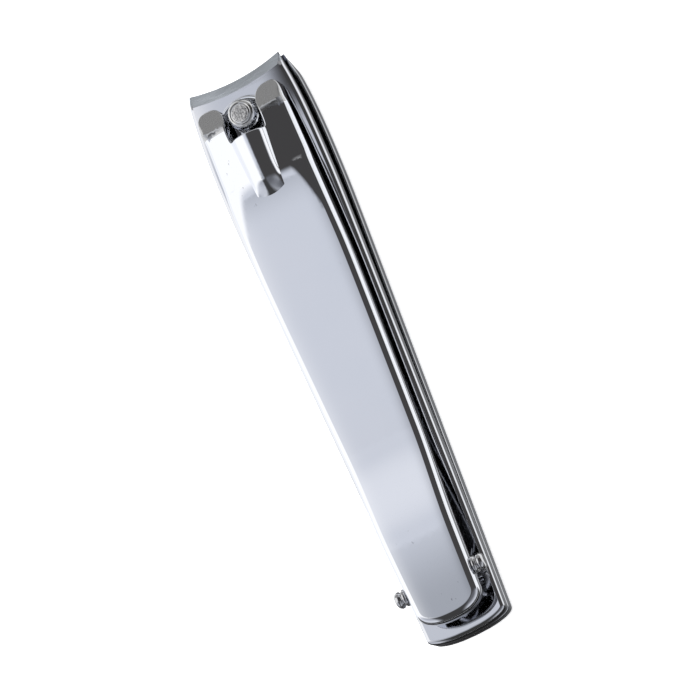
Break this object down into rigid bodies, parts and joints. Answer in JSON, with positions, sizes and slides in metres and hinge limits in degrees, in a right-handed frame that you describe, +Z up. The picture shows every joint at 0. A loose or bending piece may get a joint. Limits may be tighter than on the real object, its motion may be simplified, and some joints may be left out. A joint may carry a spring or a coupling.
{
  "type": "lever nail clipper",
  "caption": "Large lever-type nail clipper of polished steel: two sprung arms with concave jaws, a swivelling post, a flip-over lever and a fold-away file.",
  "frame": {"origin": "under the middle of the lower arm, on its flat underside", "axes": "+X along the arms towards the jaws, +Y to the left, +Z up through the arms to the lever"},
  "size_m": [0.082, 0.0156, 0.0115],
  "materials": {
    "arm_chrome": "mirror-polished chrome plate, jaw bevels ground matte",
    "lever_chrome": "mirror-polished chrome plate, satin on the two lobes",
    "post_steel": "polished, with a rough peened disc on top",
    "rivet_steel": "satin",
    "pin_steel": "polished, rounded knobs",
    "file_steel": "cross-hatched file teeth, nickel"
  },
  "bodies": {
    "lower": {"lower_arm": "arm_chrome", "rear_rivet_left": "rivet_steel", "rear_rivet_right": "rivet_steel"},
    "upper": {"upper_arm": "arm_chrome"},
    "post": {"post": "post_steel"},
    "lever": {"lever": "lever_chrome", "file_pin": "pin_steel"},
    "file": {"file_blade": "file_steel"}
  },
  "joints": [
    {"name": "jaw_close", "type": "hinge", "parent": "lower", "child": "upper", "pos_m": [-0.034, 0, 0.0017], "axis": [0, 1, 0], "range_deg": [0, 1.5], "stiffness_Nm_per_rad": 60},
    {"name": "post_swivel", "type": "hinge", "parent": "lower", "child": "post", "pos_m": [0.0343, 0, 0.004], "axis": [0, 0, 1], "continuous": true},
    {"name": "lever_tilt", "type": "hinge", "parent": "post", "child": "lever", "pos_m": [0.03605, 0, 0.0079], "axis": [0, 1, 0], "range_deg": [0, 150]},
    {"name": "file_swing", "type": "hinge", "parent": "lever", "child": "file", "pos_m": [-0.0338, 0, 0.0064], "axis": [0, 1, 0], "range_deg": [0, 145]}
  ],
  "couplings": [
    {"joint": "file_swing", "follows": "lever_tilt", "ratio": 0.9667}
  ]
}
